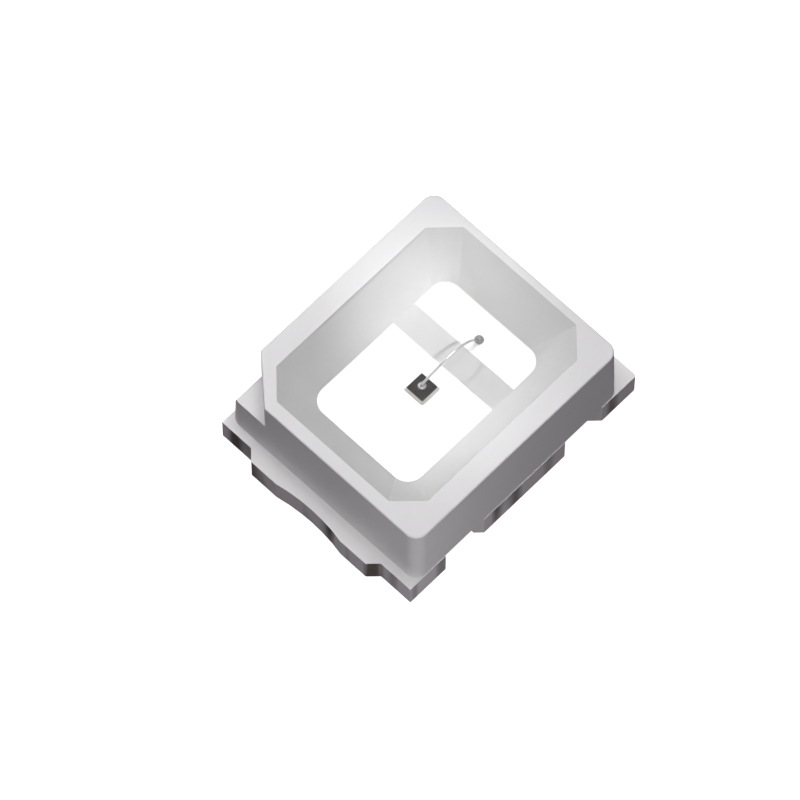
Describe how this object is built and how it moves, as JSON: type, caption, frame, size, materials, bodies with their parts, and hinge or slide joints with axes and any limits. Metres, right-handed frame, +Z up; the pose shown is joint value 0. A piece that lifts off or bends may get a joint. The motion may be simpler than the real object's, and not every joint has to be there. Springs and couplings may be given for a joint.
{
  "type": "surface-mount led",
  "caption": "Top-view surface-mount light-emitting diode: a white moulded reflector cup on a flat two-pad lead frame, with a wire-bonded chip under clear resin.",
  "frame": {"origin": "middle of the bounding box, on the plane of the solder pads", "axes": "+X along the package from the cathode end to the anode end, +Y towards the long side with the cathode notch, +Z up out of the cup, the way the light leaves"},
  "size_m": [0.0036, 0.0028, 0.0013],
  "materials": {
    "reflector_plastic": "white filled thermoplastic, moulded, matte",
    "silver_plate": "copper alloy strip, silver plated, satin",
    "semiconductor": "dark sawn semiconductor, polished top",
    "silver_glue": "silver-filled epoxy, cured, dull",
    "bond_metal": "drawn silver-alloy wire, bright",
    "clear_resin": "clear cast resin, glossy"
  },
  "bodies": {
    "root": {"housing": "reflector_plastic", "cathode_lead": "silver_plate", "anode_lead": "silver_plate", "led_chip": "semiconductor", "die_attach": "silver_glue", "bond_wire": "bond_metal", "wire_bump": "bond_metal", "encapsulant": "clear_resin"}
  },
  "joints": []
}
